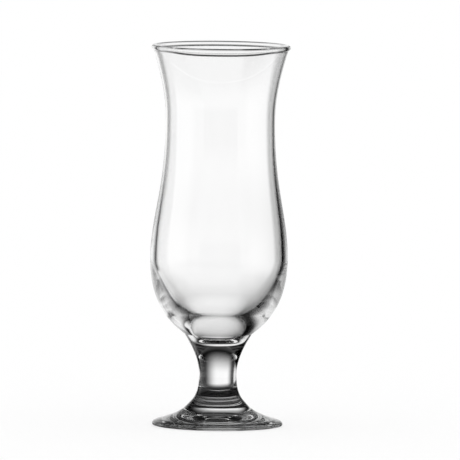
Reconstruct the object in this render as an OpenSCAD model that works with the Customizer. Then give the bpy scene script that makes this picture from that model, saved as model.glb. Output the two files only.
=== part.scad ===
// Hurricane glass: a blown bowl fused to a pressed stem, and the stem fused to a pressed foot.
// Lengths are in millimetres and angles in degrees. The origin is the centre of the ring that
// the foot stands on, and +Z runs up the middle of the glass.

/* [Lip] */
// Diameter over the outside of the lip bead
lip_d = 76.8; // [68:0.2:96]
// Diameter of the round bead that finishes the lip
bead_d = 2.8; // [2.4:0.1:3.6]
// Wall of the bowl just below the bead
lip_wall = 1.1; // [0.8:0.1:1.6]
// Lean of the wall below the bead, away from the vertical
lip_lean = 17; // [8:1:26]

/* [Bowl] */
// Outer diameter of the waist
waist_d = 60.4; // [52:0.2:68]
// Outer diameter of the belly
belly_d = 75.9; // [66:0.1:90]
// Height from the waist to the top of the lip
flare_h = 43; // [34:0.5:56]
// Height from the belly to the waist
body_h = 75; // [55:0.5:95]
// Height from the seat ring to the belly
base_h = 41.6; // [34:0.2:52]
// Lean of the outside where it meets the seat ring, away from the vertical
base_lean = 52; // [44:1:56]
// Wall at the waist
waist_wall = 1.3; // [0.9:0.1:2.2]
// Wall at the belly
belly_wall = 3.3; // [2.2:0.1:4.4]
// Glass below the lowest point of the cavity
bottom_wall = 9.3; // [6:0.1:12]
// Drop from the seat ring to the lowest point of the cavity
cavity_drop = 3.4; // [2:0.1:5.4]
// Diameter of the mouth of the well, the narrow lower end of the cavity
well_d = 44.6; // [40:0.2:48]
// Height of the well's mouth above its lowest point
well_h = 17.2; // [15:0.1:19]
// Lean of the cavity's wall at the mouth of the well, away from the vertical
well_lean = 48; // [43:1:52]

/* [Stem] */
// Diameter of the seat ring, where the stem's cup meets the bowl
seat_d = 37.2; // [31:0.2:44]
// Lean of the cup just below the seat ring, away from the vertical
cup_lean = 30; // [20:1:38]
// Diameter of the neck
neck_d = 20.6; // [16:0.2:25]
// Height from the neck to the seat ring
cup_h = 22.6; // [19:0.2:30]
// Height from the foot joint to the neck
shank_h = 13.8; // [10:0.2:20]

/* [Foot] */
// Diameter of the foot
foot_d = 71.8; // [62:0.2:84]
// Thickness of the rounded edge of the foot
edge_t = 2.6; // [2:0.1:3.4]
// Radius of the lower corner of that edge
edge_low_r = 0.7; // [0.4:0.1:1.2]
// Fall of the foot's upper face towards its edge, below the horizontal
edge_fall = 18; // [12:1:22]
// Height of the foot up to its joint with the stem
foot_h = 14; // [12:0.2:17]
// Diameter of the joint between foot and stem
joint_d = 28.2; // [25:0.2:33]
// Lean of the outside where stem and foot join, away from the vertical
joint_lean = 41; // [30:1:48]
// Width of the flat ring that the foot stands on
ring_w = 5; // [3:0.2:8]
// Rise of the hollow under the foot
hollow_h = 3; // [1:0.2:3.6]

/* [Hidden] */

// Sides of the turned solids, and steps along each kind of curve
$fn = 144;
curve_steps = 22;
bead_steps = 24;
fillet_steps = 6;

// Clear colourless glass
glass_color = [0.91, 0.94, 0.95, 0.35];

// Handles of the curves, as shares of the height or width that each one spans
flare_waist_share = 0.18;
flare_lip_share = 0.6;
body_belly_share = 0.32;
body_waist_share = 0.5;
base_belly_share = 0.62;
base_seat_share = 0.24;
cavity_belly_share = 0.36;
cavity_well_share = 0.33;
well_mouth_share = 1.19;
well_floor_share = 0.65;
nose_side_share = 0.5;
nose_floor_share = 0.3;
cup_seat_share = 0.1;
cup_neck_share = 0.46;
shank_neck_share = 0.25;
shank_joint_share = 0.38;
foot_joint_share = 0.74;
foot_edge_share = 0.7;
hollow_middle_share = 0.5;
hollow_ring_share = 0.3;
fillet_share = 0.25;

// Drop from the bead's centre to the top of the plain wall, as a share of the bead's diameter,
// and the width between the two ends of the bead's round, as a share of the wall
bead_root_share = 0.575;
bead_neck_share = 1.4;

lip_r = lip_d / 2;
bead_r = bead_d / 2;
waist_r = waist_d / 2;
belly_r = belly_d / 2;
seat_r = seat_d / 2;
neck_r = neck_d / 2;
joint_r = joint_d / 2;
foot_r = foot_d / 2;
well_r = well_d / 2;
edge_top_r = edge_t - edge_low_r;

joint_z = foot_h;
neck_z = joint_z + shank_h;
seat_z = neck_z + cup_h;
belly_z = seat_z + base_h;
waist_z = belly_z + body_h;
lip_z = waist_z + flare_h;
cavity_z = seat_z - cavity_drop;
well_z = cavity_z + well_h;
nose_z = cavity_z - bottom_wall;

// Unit step up a wall that leans outwards, and unit step square to that wall, outwards
function up_wall(lean) = [sin(lean), cos(lean)];
function off_wall(lean) = [cos(lean), -sin(lean)];

// Point at an angle on a circle
function on_circle(centre, radius, angle) = centre + radius * [cos(angle), sin(angle)];

// Arc between two angles, and cubic curve between two ends with two handles
function arc(centre, radius, from, to, steps) =
    [for (i = [0:steps]) on_circle(centre, radius, from + (to - from) * i / steps)];
function curve(a, b, c, d, steps) =
    [for (i = [0:steps]) let (t = i / steps, s = 1 - t)
        s * s * s * a + 3 * s * s * t * b + 3 * s * t * t * c + t * t * t * d];

// A list of points turned round, and one without its first point
function back(points) = [for (i = [len(points) - 1:-1:0]) points[i]];
function rest(points) = [for (i = [1:len(points) - 1]) points[i]];

// Lip bead, round except where it opens downwards onto the middle of the wall
bead_centre = [lip_r - bead_r, lip_z - bead_r];
bead_open = asin(bead_neck_share * lip_wall / bead_d);
bead_from = bead_open - lip_lean - 90;
bead_to = 270 - lip_lean - bead_open;
bead_arc = arc(bead_centre, bead_r, bead_from, bead_to, bead_steps);
wall_top = bead_centre - bead_root_share * bead_d * up_wall(lip_lean);
lip_outside = wall_top + lip_wall / 2 * off_wall(lip_lean);
lip_inside = wall_top - lip_wall / 2 * off_wall(lip_lean);

// Hollow between the top of the wall and an end of the bead, which it joins at an angle
function fillet(wall, bead_end, angle) = let (reach = fillet_share * norm(bead_end - wall)) curve(
    wall,
    wall + reach * up_wall(lip_lean),
    bead_end - reach * [cos(angle), sin(angle)],
    bead_end,
    fillet_steps);
outer_fillet = fillet(lip_outside, bead_arc[0], bead_from + 90);
inner_fillet = fillet(lip_inside, bead_arc[bead_steps], bead_to - 90);

// Side of the flare from the waist to a point below the lip, and of the body from belly to waist
function flare_curve(waist, lip) = let (h = lip[1] - waist[1]) curve(
    waist,
    waist + [0, flare_waist_share * h],
    lip - flare_lip_share * h * up_wall(lip_lean),
    lip,
    curve_steps);
function body_curve(belly, waist) = let (h = waist[1] - belly[1]) curve(
    belly,
    belly + [0, body_belly_share * h],
    waist - [0, body_waist_share * h],
    waist,
    curve_steps);

waist_outside = [waist_r, waist_z];
waist_inside = [waist_r - waist_wall, waist_z];
belly_outside = [belly_r, belly_z];
belly_inside = [belly_r - belly_wall, belly_z];
seat_ring = [seat_r, seat_z];
well_mouth = [well_r, well_z];

// Outside of the bowl below the belly, the cavity down to its well, the well, and the nose held by the cup
base_curve = curve(
    seat_ring,
    seat_ring + base_seat_share * base_h * up_wall(base_lean),
    belly_outside - [0, base_belly_share * base_h],
    belly_outside,
    curve_steps);
cavity_curve = curve(
    belly_inside,
    belly_inside - [0, cavity_belly_share * (belly_z - well_z)],
    well_mouth + cavity_well_share * (belly_z - well_z) * up_wall(well_lean),
    well_mouth,
    curve_steps);
well_curve = curve(
    well_mouth,
    well_mouth - well_mouth_share * well_h * up_wall(well_lean),
    [well_floor_share * well_r, cavity_z],
    [0, cavity_z],
    curve_steps);
nose_curve = curve(
    [0, nose_z],
    [nose_floor_share * seat_r, nose_z],
    seat_ring - nose_side_share * (seat_z - nose_z) * up_wall(base_lean),
    seat_ring,
    curve_steps);

// Outside of the stem above and below its neck
neck_side = [neck_r, neck_z];
joint_edge = [joint_r, joint_z];
cup_curve = curve(
    neck_side,
    neck_side + [0, cup_neck_share * cup_h],
    seat_ring - cup_seat_share * cup_h * up_wall(cup_lean),
    seat_ring,
    curve_steps);
shank_curve = curve(
    joint_edge,
    joint_edge + shank_joint_share * shank_h * up_wall(-joint_lean),
    neck_side - [0, shank_neck_share * shank_h],
    neck_side,
    curve_steps);

// Hollow under the foot, its rounded edge and its upper face
ring_outside = [foot_r - edge_low_r, 0];
ring_inside = ring_outside - [ring_w, 0];
hollow_curve = curve(
    [0, hollow_h],
    [hollow_middle_share * ring_inside[0], hollow_h],
    ring_inside + hollow_ring_share * hollow_h * [-1, 1],
    ring_inside,
    curve_steps);
low_corner = arc([foot_r - edge_low_r, edge_low_r], edge_low_r, -90, 0, fillet_steps);
top_corner = arc([foot_r - edge_top_r, edge_low_r], edge_top_r, 0, 90 - edge_fall, bead_steps);
edge_top = top_corner[bead_steps];
upper_face = curve(
    edge_top,
    edge_top + foot_edge_share * (edge_top[0] - joint_r) * [-cos(edge_fall), sin(edge_fall)],
    joint_edge - foot_joint_share * (joint_z - edge_top[1]) * up_wall(-joint_lean),
    joint_edge,
    curve_steps);

// Bowl: outside from the nose up to the bead, then down the inside to the cavity's floor
module bowl() {
    color(glass_color)
        rotate_extrude()
            polygon(concat(
                nose_curve,
                rest(base_curve),
                rest(body_curve(belly_outside, waist_outside)),
                rest(flare_curve(waist_outside, lip_outside)),
                rest(outer_fillet),
                rest(bead_arc),
                rest(back(inner_fillet)),
                rest(back(flare_curve(waist_inside, lip_inside))),
                rest(back(body_curve(belly_inside, waist_inside))),
                rest(cavity_curve),
                rest(well_curve)));
}

// Stem: flat below, waisted at the neck, with a cup on top that the bowl's nose fills
module stem() {
    color(glass_color)
        rotate_extrude()
            polygon(concat(
                [[0, joint_z]],
                shank_curve,
                rest(cup_curve),
                rest(back(nose_curve))));
}

// Foot: a hollowed disc on a flat ring, rising to the joint with the stem
module foot() {
    color(glass_color)
        rotate_extrude()
            polygon(concat(
                hollow_curve,
                low_corner,
                rest(top_corner),
                rest(upper_face),
                [[0, joint_z]]));
}

bowl();
stem();
foot();
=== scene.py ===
"""Hurricane glass: the looks of its blown bowl, its pressed stem and its pressed foot.

Every piece is an outline turned about the upright axis, worked out with numpy in the frame of the
CAD model, in metres. The slow unevenness of hot-worked glass is part of the surfaces, and finer marks
are in the materials.
"""

import bpy
import numpy as np
from mathutils import Matrix, Vector


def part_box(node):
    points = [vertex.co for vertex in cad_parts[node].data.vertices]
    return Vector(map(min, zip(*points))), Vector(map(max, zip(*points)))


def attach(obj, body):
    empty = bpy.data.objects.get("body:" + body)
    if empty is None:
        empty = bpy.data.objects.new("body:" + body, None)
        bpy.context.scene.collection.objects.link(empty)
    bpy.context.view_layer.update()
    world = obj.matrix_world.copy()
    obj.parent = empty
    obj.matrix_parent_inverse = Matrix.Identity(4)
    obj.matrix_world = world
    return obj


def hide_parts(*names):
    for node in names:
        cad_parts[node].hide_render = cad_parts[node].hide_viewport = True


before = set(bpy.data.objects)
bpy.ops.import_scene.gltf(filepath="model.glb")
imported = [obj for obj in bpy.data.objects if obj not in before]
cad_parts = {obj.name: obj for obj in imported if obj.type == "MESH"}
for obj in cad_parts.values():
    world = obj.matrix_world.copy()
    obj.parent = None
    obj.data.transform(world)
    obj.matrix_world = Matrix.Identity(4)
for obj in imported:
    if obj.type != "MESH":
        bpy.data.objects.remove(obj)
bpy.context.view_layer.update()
scene = bpy.context.scene

MM = 0.001
QUARTER_TURN = np.pi / 2

# Sizes that the frame gives: how far each piece reaches from the axis, and where the pieces meet

bowl_low, bowl_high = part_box("bowl")
_, stem_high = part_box("stem")
_, foot_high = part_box("foot")
LIP_R, LIP_Z = bowl_high.x, bowl_high.z
SEAT_R, SEAT_Z = stem_high.x, stem_high.z
FOOT_R, JOINT_Z = foot_high.x, foot_high.z
NOSE_Z = bowl_low.z

# Sizes of the bowl

BEAD_R = 1.4 * MM
LIP_WALL = 1.1 * MM
LIP_LEAN = np.radians(17)
WAIST_R, WAIST_WALL = 30.2 * MM, 1.3 * MM
BELLY_R, BELLY_WALL = 37.95 * MM, 3.3 * MM
FLARE_H = 43 * MM
BASE_H = 41.6 * MM
BASE_LEAN = np.radians(52)
BOTTOM_WALL = 9.3 * MM
WELL_R, WELL_H = 22.3 * MM, 17.2 * MM
WELL_LEAN = np.radians(48)
WAIST_Z = LIP_Z - FLARE_H
BELLY_Z = SEAT_Z + BASE_H
CAVITY_Z = NOSE_Z + BOTTOM_WALL
WELL_Z = CAVITY_Z + WELL_H

# Sizes of the stem and the foot

CUP_H = 22.6 * MM
CUP_LEAN = np.radians(30)
NECK_R = 10.3 * MM
NECK_Z = SEAT_Z - CUP_H
SHANK_H = NECK_Z - JOINT_Z
JOINT_R = 14.1 * MM
JOINT_LEAN = np.radians(41)
EDGE_T, EDGE_LOW_R = 2.6 * MM, 0.7 * MM
EDGE_TOP_R = EDGE_T - EDGE_LOW_R
EDGE_FALL = np.radians(18)
RING_W = 5 * MM
HOLLOW_H = 3 * MM

# Handles of the curves, as shares of the height or width that each one spans, first end first

FLARE_SHARES = (0.18, 0.6)
BODY_SHARES = (0.32, 0.5)
BASE_SHARES = (0.24, 0.62)
CAVITY_SHARES = (0.36, 0.33)
WELL_SHARES = (1.19, 0.65)
NOSE_SHARES = (0.3, 0.5)
CUP_SHARES = (0.46, 0.1)
SHANK_SHARES = (0.38, 0.25)
UPPER_SHARES = (0.7, 0.74)
HOLLOW_SHARES = (0.5, 0.3)

# Drop from the bead's centre to the plain wall as a share of the bead's radius, the width where the bead
# opens as a share of the wall, and the handles of the hollow between the two

BEAD_ROOT_SHARE = 1.15
BEAD_NECK_SHARE = 1.4
FILLET_SHARE = 0.25

# Half of the angle by which the bead opens onto the wall

BEAD_OPEN = np.arcsin(BEAD_NECK_SHARE * LIP_WALL / (2 * BEAD_R))

# Fineness of the meshes: steps round the axis, and along long, middling and short stretches

AROUND = 240
LONG, MIDDLING, SHORT = 46, 36, 12

# Unevenness of hot-worked glass: height of the swell on each kind of surface, and its lobes round the axis

TOOLED_SWELL = 0.02 * MM
BLOWN_SWELL = 0.05 * MM
PRESSED_SWELL = 0.02 * MM
LOBES = np.arange(2, 9)
GOLDEN_TURN = np.pi * (3 - 5**0.5)

# Sag of the melted lip: how deep, on which side, how widely, and how fast it fades down the wall

LIP_SAG = 1.35 * MM
LIP_SAG_TURN = np.radians(-90)
LIP_SAG_SPREAD_SHARE = 0.13
LIP_SAG_FADE = 6


# Outlines, as rows of radius and height

def at(radius, height):
    """A place on an outline."""
    return np.array([radius, height])


def up_wall(lean):
    """Unit step up a wall that leans outwards by an angle."""
    return at(np.sin(lean), np.cos(lean))


def off_wall(lean):
    """Unit step square to that wall, outwards."""
    return at(np.cos(lean), -np.sin(lean))


def arc(centre, radius, start, stop, steps):
    """Centre plus radius times the cosine and sine of an angle that runs from start to stop."""
    angle = np.linspace(start, stop, steps + 1)[:, None]
    return centre + radius * np.hstack([np.cos(angle), np.sin(angle)])


def curve(a, b, c, d, steps):
    """Cubic curve from a to d: the weights of a, b, c, d are the terms of (s + t) cubed, with s = 1 - t."""
    t = np.linspace(0, 1, steps + 1)[:, None]
    s = 1 - t
    return s**3 * a + 3 * s * s * t * b + 3 * s * t * t * c + t**3 * d


def line(a, b, steps):
    """Straight stretch from a to b."""
    return np.linspace(a, b, steps + 1)


def flare(waist, lip):
    """Side of the flare: upright at the waist, leaning outwards at the lip."""
    h = lip[1] - waist[1]
    below_lip = lip - FLARE_SHARES[1] * h * up_wall(LIP_LEAN)
    return curve(waist, waist + at(0, FLARE_SHARES[0] * h), below_lip, lip, MIDDLING)


def body(belly, waist):
    """Side of the body: upright at the belly and at the waist."""
    h = waist[1] - belly[1]
    below_waist = waist - at(0, BODY_SHARES[1] * h)
    return curve(belly, belly + at(0, BODY_SHARES[0] * h), below_waist, waist, MIDDLING)


def fillet(wall, bead_end, heading):
    """Hollow between the wall of the lip and an end of the bead, which the curve joins at a heading."""
    reach = FILLET_SHARE * np.linalg.norm(bead_end - wall)
    last = at(np.cos(heading), np.sin(heading))
    return curve(wall, wall + reach * up_wall(LIP_LEAN), bead_end - reach * last, bead_end, SHORT)


seat_ring = at(SEAT_R, SEAT_Z)
neck_side = at(NECK_R, NECK_Z)
joint_edge = at(JOINT_R, JOINT_Z)
waist_outside, waist_inside = at(WAIST_R, WAIST_Z), at(WAIST_R - WAIST_WALL, WAIST_Z)
belly_outside, belly_inside = at(BELLY_R, BELLY_Z), at(BELLY_R - BELLY_WALL, BELLY_Z)
well_mouth = at(WELL_R, WELL_Z)
above_well = BELLY_Z - WELL_Z

bead_centre = at(LIP_R - BEAD_R, LIP_Z - BEAD_R)
wall_top = bead_centre - BEAD_ROOT_SHARE * BEAD_R * up_wall(LIP_LEAN)
lip_outside = wall_top + LIP_WALL / 2 * off_wall(LIP_LEAN)
lip_inside = wall_top - LIP_WALL / 2 * off_wall(LIP_LEAN)
bead_ends = BEAD_OPEN - LIP_LEAN - QUARTER_TURN, 3 * QUARTER_TURN - LIP_LEAN - BEAD_OPEN
bead = arc(bead_centre, BEAD_R, *bead_ends, MIDDLING)
outer_fillet = fillet(lip_outside, bead[0], bead_ends[0] + QUARTER_TURN)
inner_fillet = fillet(lip_inside, bead[-1], bead_ends[1] - QUARTER_TURN)[::-1]

nose = curve(at(0, NOSE_Z), at(NOSE_SHARES[0] * SEAT_R, NOSE_Z),
             seat_ring - NOSE_SHARES[1] * (SEAT_Z - NOSE_Z) * up_wall(BASE_LEAN), seat_ring, MIDDLING)
base = curve(seat_ring, seat_ring + BASE_SHARES[0] * BASE_H * up_wall(BASE_LEAN),
             belly_outside - at(0, BASE_SHARES[1] * BASE_H), belly_outside, LONG)
cavity = curve(belly_inside, belly_inside - at(0, CAVITY_SHARES[0] * above_well),
               well_mouth + CAVITY_SHARES[1] * above_well * up_wall(WELL_LEAN), well_mouth, LONG)
well = curve(well_mouth, well_mouth - WELL_SHARES[0] * WELL_H * up_wall(WELL_LEAN),
             at(WELL_SHARES[1] * WELL_R, CAVITY_Z), at(0, CAVITY_Z), LONG)
cup = curve(neck_side, neck_side + at(0, CUP_SHARES[0] * CUP_H),
            seat_ring - CUP_SHARES[1] * CUP_H * up_wall(CUP_LEAN), seat_ring, LONG)
shank = curve(joint_edge, joint_edge + SHANK_SHARES[0] * SHANK_H * up_wall(-JOINT_LEAN),
              neck_side - at(0, SHANK_SHARES[1] * SHANK_H), neck_side, LONG)

ring_outside = at(FOOT_R - EDGE_LOW_R, 0)
ring_inside = ring_outside - at(RING_W, 0)
hollow = curve(at(0, HOLLOW_H), at(HOLLOW_SHARES[0] * ring_inside[0], HOLLOW_H),
               ring_inside + HOLLOW_SHARES[1] * HOLLOW_H * at(-1, 1), ring_inside, LONG)
low_corner = arc(at(FOOT_R - EDGE_LOW_R, EDGE_LOW_R), EDGE_LOW_R, -QUARTER_TURN, 0, SHORT)
top_corner = arc(at(FOOT_R - EDGE_TOP_R, EDGE_LOW_R), EDGE_TOP_R, 0, QUARTER_TURN - EDGE_FALL, SHORT)
edge_top = top_corner[-1]
up_the_foot = at(-np.cos(EDGE_FALL), np.sin(EDGE_FALL))
upper = curve(edge_top, edge_top + UPPER_SHARES[0] * (edge_top[0] - JOINT_R) * up_the_foot,
              joint_edge - UPPER_SHARES[1] * (JOINT_Z - edge_top[1]) * up_wall(-JOINT_LEAN),
              joint_edge, LONG)
joint_face = line(at(0, JOINT_Z), joint_edge, SHORT)


# Pieces turned from the outlines

def swell(turn, along):
    """Slow unevenness between -1 and 1: the mean of cosines, each with more lobes round the axis, a phase
    of its own and a drift along the outline, weighted by one over its lobes."""
    lobes = LOBES[:, None, None]
    phase = GOLDEN_TURN * lobes * lobes
    waves = np.cos(lobes * turn + phase + 2 * np.pi * along * lobes * np.sin(phase))
    return (waves / lobes).sum(0) / (1 / lobes).sum()


def stretch(points, swell_height=0.0, is_fused=False, sag=0.0):
    """A stretch of an outline: its points, and at each one the height of the swell, which fades to nothing
    at both ends, whether the face that leads there is a fused one, and the share of the lip's sag."""
    count = len(points)
    fade = swell_height * np.sin(np.pi * np.linspace(0, 1, count))
    return points, fade, np.full(count, is_fused), np.broadcast_to(sag, count)


def lip_sag(turn):
    """How far the melted bead has run down the wall: a bell curve round the axis, highest on one side."""
    away = (1 - np.cos(turn - LIP_SAG_TURN)) / 2
    return LIP_SAG * np.exp(-(away / LIP_SAG_SPREAD_SHARE) ** 2)


def turned(name, stretches):
    """Surface of revolution: radius and height of the outline at v, carried round the axis by the angle u.

    The swell moves a point square to the outline, and the sag moves it down the wall of the lip. One point
    closes each pole, fused faces take the second material, and the ring where a fused face ends is a sharp
    edge.
    """
    outline, fade, fused, sag = [
        np.concatenate([column[0][:1]] + [part[1:] for part in column]) for column in zip(*stretches)]
    fused = fused[1:]
    way = np.gradient(outline, axis=0)
    way /= np.linalg.norm(way, axis=1)[:, None]
    rings = len(outline) - 2
    turn = np.linspace(0, 2 * np.pi, AROUND, endpoint=False)
    move = fade[1:-1, None] * swell(turn, np.linspace(0, 1, rings)[:, None])
    run = sag[1:-1, None] * lip_sag(turn)
    radius = outline[1:-1, :1] + move * way[1:-1, 1:] - run * np.sin(LIP_LEAN)
    height = outline[1:-1, 1:] - move * way[1:-1, :1] - run * np.cos(LIP_LEAN)
    grid = np.stack([radius * np.cos(turn), radius * np.sin(turn), height], -1)
    points = np.vstack([grid.reshape(-1, 3), [[0, 0, outline[0, 1]], [0, 0, outline[-1, 1]]]])

    here = np.arange(AROUND)
    beyond = (here + 1) % AROUND
    row = AROUND * np.arange(rings - 1)[:, None]
    above = row + AROUND
    quads = np.stack([row + here, row + beyond, above + beyond, above + here], -1).reshape(-1, 4)
    last = AROUND * (rings - 1)
    first_pole = AROUND * rings
    last_pole = first_pole + 1
    first_cap = np.stack([np.full(AROUND, first_pole), beyond, here], -1)
    last_cap = np.stack([np.full(AROUND, last_pole), last + here, last + beyond], -1)
    mesh = bpy.data.meshes.new(name)
    mesh.from_pydata(points.tolist(), [], quads.tolist() + first_cap.tolist() + last_cap.tolist())
    slots = np.concatenate([np.repeat(fused[1:-1], AROUND), np.repeat(fused[[0, -1]], AROUND)])
    mesh.polygons.foreach_set("material_index", slots.astype(np.int32))
    mesh.polygons.foreach_set("use_smooth", np.ones(len(slots), bool))
    ends = np.empty(2 * len(mesh.edges), np.int32)
    mesh.edges.foreach_get("vertices", ends)
    ring_of = ends.reshape(-1, 2) // AROUND
    # The poles count as one more ring, without a crease
    crease = np.append(fused[1:] != fused[:-1], False)
    mesh.edges.foreach_set("use_edge_sharp", (ring_of[:, 0] == ring_of[:, 1]) & crease[ring_of[:, 0]])
    mesh.update()
    piece = bpy.data.objects.new(name, mesh)
    scene.collection.objects.link(piece)
    return piece


# The flare sags more and more towards the lip, and the bead only in its lower half
flare_sag = np.linspace(0, 1, MIDDLING + 1) ** LIP_SAG_FADE
bead_angle = np.linspace(1, -1, MIDDLING + 1) * (np.pi - BEAD_OPEN)
bead_sag = np.abs(bead_angle) > QUARTER_TURN
bowl = turned("blown_bowl", [
    stretch(nose, is_fused=True),
    stretch(base, TOOLED_SWELL),
    stretch(body(belly_outside, waist_outside), TOOLED_SWELL),
    stretch(flare(waist_outside, lip_outside), TOOLED_SWELL, sag=flare_sag),
    stretch(outer_fillet, sag=1.0),
    stretch(bead, sag=bead_sag),
    stretch(inner_fillet, sag=1.0),
    stretch(flare(waist_inside, lip_inside)[::-1], TOOLED_SWELL, sag=flare_sag[::-1]),
    stretch(body(belly_inside, waist_inside)[::-1], BLOWN_SWELL),
    stretch(cavity, BLOWN_SWELL),
    stretch(well, BLOWN_SWELL)])
stem = turned("pressed_stem", [
    stretch(joint_face, is_fused=True),
    stretch(shank, PRESSED_SWELL),
    stretch(cup, PRESSED_SWELL),
    stretch(nose[::-1], is_fused=True)])
foot = turned("pressed_foot", [
    stretch(hollow, PRESSED_SWELL),
    stretch(line(ring_inside, ring_outside, SHORT)),
    stretch(low_corner),
    stretch(top_corner),
    stretch(upper, PRESSED_SWELL),
    stretch(joint_face[::-1], is_fused=True)])


# Shaders

class Wire:
    """An output socket. Arithmetic on wires and numbers adds Math nodes to the socket's tree."""

    def __init__(self, tree, socket=None):
        self.tree = tree
        self.socket = socket

    def node(self, kind, settings=None, sockets=None, out=0):
        """Adds a node of a kind: sets its settings first, then gives each socket its value or its link."""
        made = self.tree.nodes.new(kind)
        for name, value in (settings or {}).items():
            setattr(made, name, value)
        for name, value in (sockets or {}).items():
            if isinstance(value, Wire):
                self.tree.links.new(value.socket, made.inputs[name])
            else:
                made.inputs[name].default_value = value
        return Wire(self.tree, made.outputs[out] if made.outputs else None)

    def math(self, operation, *values):
        """The result of a Math node."""
        return self.node("ShaderNodeMath", {"operation": operation}, dict(enumerate(values)))

    def __add__(self, other):
        return self.math("ADD", self, other)

    def __sub__(self, other):
        return self.math("SUBTRACT", self, other)

    def __rsub__(self, other):
        return self.math("SUBTRACT", other, self)

    def __mul__(self, other):
        return self.math("MULTIPLY", self, other)

    __radd__ = __add__
    __rmul__ = __mul__

    def rise(self, low, high):
        """0 up to low, 1 from high on, and a smooth step between them."""
        ends = {"Value": self, "From Min": low, "From Max": high}
        return self.node("ShaderNodeMapRange", {"interpolation_type": "SMOOTHSTEP"}, ends)


def fresh_tree(owner):
    """An empty node tree of a material or a world."""
    owner.use_nodes = True
    owner.node_tree.nodes.clear()
    return Wire(owner.node_tree)


# Clear glass, its faint tinge, and the heights of the noises between which tinge and dullness set in
GLASS_IOR = 1.52
CLEAR = (1.0, 1.0, 1.0, 1.0)
TINGE = (0.985, 0.99, 0.99, 1.0)
TINGED = (0.5, 0.8)
DULLED = (0.45, 0.75)

# Detail of the two noises, and how much of the finer one is in the height of the bumps
CORD_DETAIL = 2.0
FINE_DETAIL = 3.0
FINE_SHARE = 0.2

# Places of the sockets of a Mix node that mixes colours: its factor, its two colours and its result
MIX_FACTOR, MIX_FIRST, MIX_SECOND = 0, 6, 7
MIXED_COLOUR = 2


def glass(name, cords, grain, polish, depth):
    """Clear glass: a noise drawn out into cords tinges and ripples it, and a finer one dulls it.

    The finer noise also adds dimples to the ripples. cords is the number of cords per metre across and
    along the axis, grain that of the fine marks, polish the roughness where the glass is dullest, and depth
    the height of the ripples.
    """
    material = bpy.data.materials.new(name)
    tree = fresh_tree(material)
    place = tree.node("ShaderNodeTexCoord", out="Object")
    across, along = cords
    drawn = tree.node("ShaderNodeMapping", {}, {"Vector": place, "Scale": (across, across, along)})
    cord = tree.node("ShaderNodeTexNoise", {}, {"Vector": drawn, "Scale": 1.0, "Detail": CORD_DETAIL})
    fine = tree.node("ShaderNodeTexNoise", {}, {"Vector": place, "Scale": grain, "Detail": FINE_DETAIL})
    mixed = {MIX_FACTOR: cord.rise(*TINGED), MIX_FIRST: CLEAR, MIX_SECOND: TINGE}
    tint = tree.node("ShaderNodeMix", {"data_type": "RGBA"}, mixed, out=MIXED_COLOUR)
    dull = polish * fine.rise(*DULLED)
    marks = {"Height": cord + FINE_SHARE * fine, "Distance": depth, "Strength": 1.0}
    bump = tree.node("ShaderNodeBump", {}, marks)
    shader = tree.node("ShaderNodeBsdfPrincipled", {}, {
        "Base Color": tint, "Roughness": dull, "Normal": bump,
        "IOR": GLASS_IOR, "Transmission Weight": 1.0})
    tree.node("ShaderNodeOutputMaterial", {}, {"Surface": shader})
    return material


def fused_face():
    """A face where two pieces of glass were fused hot, so that light goes straight on through it."""
    material = bpy.data.materials.new("fused_face")
    tree = fresh_tree(material)
    clear = tree.node("ShaderNodeBsdfTransparent", {}, {"Color": CLEAR})
    tree.node("ShaderNodeOutputMaterial", {}, {"Surface": clear})
    return material


blown_glass = glass("blown_glass", cords=(30, 12), grain=900, polish=0.01, depth=0.01 * MM)
pressed_glass = glass("pressed_glass", cords=(60, 120), grain=700, polish=0.012, depth=0.01 * MM)
weld = fused_face()

for piece, node, slot, finish in ((bowl, "bowl", "blown_glass", blown_glass),
                                  (stem, "stem", "pressed_glass", pressed_glass),
                                  (foot, "foot", "pressed_glass", pressed_glass)):
    piece.data.materials.append(finish)
    piece.data.materials.append(weld)
    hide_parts(node)
    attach(piece, "root")


# Studio: cards with dark gaps between them, which show in the glass alone

WHOLE_TURN = 360
HALF_TURN = 180
DEGREES = np.degrees(1)

# Cards by direction, in degrees: azimuth is 0 behind the glass and grows to its left, and elevation is 0
# level with it. Each card has its brightness, and then its left, right, lower and upper edge, each with
# the width over which it fades
CARDS = {
    "paper": (1.00, (20, 19), (0, 32), (-12, 40), (-3, 35)),
    "left_window": (1.00, (108, 41), (54, 10), (-24, 18), (3, 22)),
    "right_window": (0.97, (-69, 8), (-142, 3), (-19, 20), (0, 16)),
    "front_room": (0.57, (220, 10), (130, 40), (-15, 20), (6, 16)),
    "front_table": (0.97, (218, 17), (115, 21), (-47, 13), (-17, 10)),
    "left_floor": (0.97, (53, 8), (37, 8), (-42, 8), (-23, 4)),
    "overhead": (0.06, (61, 20), (-59, 19), (39, 11), (59, 10)),
}


def card(azimuth, elevation, level, left, right, low, high):
    """Brightness of one card: its level on it, falling smoothly to 0 beyond its edges."""
    middle = (left[0] + right[0]) / 2
    half = (left[0] - right[0]) / 2
    off = azimuth.math("FLOORED_MODULO", azimuth - (middle - HALF_TURN), WHOLE_TURN) - HALF_TURN
    from_left = 1 - off.rise(half, half + left[1])
    from_right = off.rise(-half - right[1], -half)
    from_below = elevation.rise(low[0] - low[1], low[0])
    from_above = 1 - elevation.rise(high[0], high[0] + high[1])
    return level * from_left * from_right * from_below * from_above


world = bpy.data.worlds.new("studio")
scene.world = world
sky = fresh_tree(world)
ray = sky.node("ShaderNodeTexCoord", out="Generated")
ray_x, ray_y, ray_z = [sky.node("ShaderNodeSeparateXYZ", {}, {"Vector": ray}, out=axis) for axis in "XYZ"]
azimuth = sky.math("ARCTAN2", 0 - ray_x, ray_y) * DEGREES
elevation = sky.math("ARCSINE", ray_z) * DEGREES
cards = [card(azimuth, elevation, *sizes) for sizes in CARDS.values()]
shown = cards[0]
for one in cards[1:]:
    shown = shown.math("MAXIMUM", shown, one)

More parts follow.
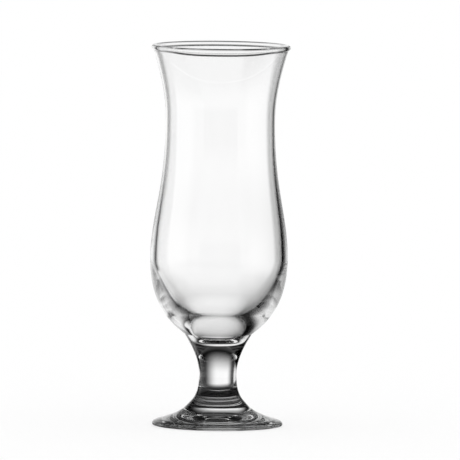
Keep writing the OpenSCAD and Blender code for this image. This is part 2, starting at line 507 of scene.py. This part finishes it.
# White to the camera and as light on the floor, and the cards in what the glass mirrors or bends
by_eye = sky.node("ShaderNodeLightPath", out="Is Camera Ray")
by_floor = sky.math("MINIMUM", sky.node("ShaderNodeLightPath", out="Diffuse Depth"), 1.0)
mirrored = sky.node("ShaderNodeLightPath", out="Is Glossy Ray")
refracted = sky.node("ShaderNodeLightPath", out="Is Transmission Ray")
by_glass = sky.math("MAXIMUM", mirrored, refracted)
level = sky.math("MAXIMUM", sky.math("MAXIMUM", by_eye, by_floor), by_glass * shown)
background = sky.node("ShaderNodeBackground", {}, {"Color": level, "Strength": 1.0})
sky.node("ShaderNodeOutputWorld", {}, {"Surface": background})


# Floor: white paper. The glass sees a painted shadow on it close round the foot, and the cards beyond that

FLOOR_HALF = 3.0
FLOOR_DROP = 0.3 * MM
# Painted shadow round the foot: the radius where it is full and the radius where it has gone
PAINTED_SHADOW_FULL = 50 * MM
PAINTED_SHADOW_GONE = 100 * MM
PAPER_GLOW = 0.6
WHITE = (1.0, 1.0, 1.0, 1.0)
# Colour of the painted shadow
PAINTED_SHADOW_COLOUR = (0.03, 0.03, 0.03, 1.0)


def floor_finish():
    """White to the camera, with a faint shadow. To the glass: painted shadow near the axis, clear beyond.
    """
    material = bpy.data.materials.new("floor_paper")
    tree = fresh_tree(material)
    place = tree.node("ShaderNodeTexCoord", out="Object")
    away = tree.node("ShaderNodeVectorMath", {"operation": "LENGTH"}, {0: place}, out="Value")
    # Painted shadow of the glass on the floor: full near the axis, fading out further away
    in_painted_shadow = 1 - away.rise(PAINTED_SHADOW_FULL, PAINTED_SHADOW_GONE)
    lit = tree.node("ShaderNodeBsdfDiffuse", {}, {"Color": WHITE})
    glow = tree.node("ShaderNodeEmission", {}, {"Color": WHITE, "Strength": 1.0})
    paper = tree.node("ShaderNodeMixShader", {}, {0: PAPER_GLOW, 1: lit, 2: glow})
    # Dark diffuse for the painted shadow, which only rays through the glass see
    painted_shadow = tree.node("ShaderNodeBsdfDiffuse", {}, {"Color": PAINTED_SHADOW_COLOUR})
    clear = tree.node("ShaderNodeBsdfTransparent", {}, {"Color": CLEAR})
    by_eye = tree.node("ShaderNodeLightPath", out="Is Camera Ray")
    to_glass = tree.node("ShaderNodeMixShader", {}, {0: in_painted_shadow, 1: clear, 2: painted_shadow})
    shown = tree.node("ShaderNodeMixShader", {}, {0: by_eye, 1: to_glass, 2: paper})
    tree.node("ShaderNodeOutputMaterial", {}, {"Surface": shown})
    return material


corners = FLOOR_HALF * np.array([[-1, -1, 0], [1, -1, 0], [1, 1, 0], [-1, 1, 0]])
floor_mesh = bpy.data.meshes.new("floor")
floor_mesh.from_pydata(corners.tolist(), [], [[0, 1, 2, 3]])
floor = bpy.data.objects.new("floor", floor_mesh)
floor.location.z = -FLOOR_DROP
floor.data.materials.append(floor_finish())
scene.collection.objects.link(floor)


# Camera at the photograph's viewing angle: the side of the picture in pixels, the size of a pixel at the
# glass, and the pixel where the origin would show without the roll

PHOTO_PX = 460
PX = 0.5511 * MM
DISTANCE = 5.5
ELEVATION = np.radians(4.55)
ROLL = np.radians(0.618)
ORIGIN_PX = (219.3, 425.1)
SENSOR = 36.0
VIEW_DEPTH = 10 * DISTANCE

camera = bpy.data.objects.new("camera", bpy.data.cameras.new("camera"))
scene.collection.objects.link(camera)
scene.camera = camera
camera.data.sensor_width = SENSOR
camera.data.lens = SENSOR * DISTANCE / (PHOTO_PX * PX)
camera.data.clip_end = VIEW_DEPTH
back = Vector((0, -np.cos(ELEVATION), np.sin(ELEVATION)))
right = Vector((1, 0, 0))
up = Vector((0, np.sin(ELEVATION), np.cos(ELEVATION)))
tilted_right = right * np.cos(ROLL) + up * np.sin(ROLL)
tilted_up = up * np.cos(ROLL) - right * np.sin(ROLL)
middle_px = PHOTO_PX / 2
aim_x = (middle_px - ORIGIN_PX[0]) * PX
aim_z = (ORIGIN_PX[1] - middle_px) * PX / np.cos(ELEVATION)
target = Vector((aim_x, 0, aim_z))
turn_and_place = Matrix((tilted_right, tilted_up, back)).transposed().to_4x4()
turn_and_place.translation = target + back * DISTANCE
camera.matrix_world = turn_and_place

# Colours as they are written, and enough bounces for light to cross all the walls of the glass

BOUNCES = 32
scene.view_settings.view_transform = "Standard"
scene.cycles.max_bounces = BOUNCES
scene.cycles.glossy_bounces = BOUNCES
scene.cycles.transmission_bounces = BOUNCES
scene.cycles.transparent_max_bounces = BOUNCES
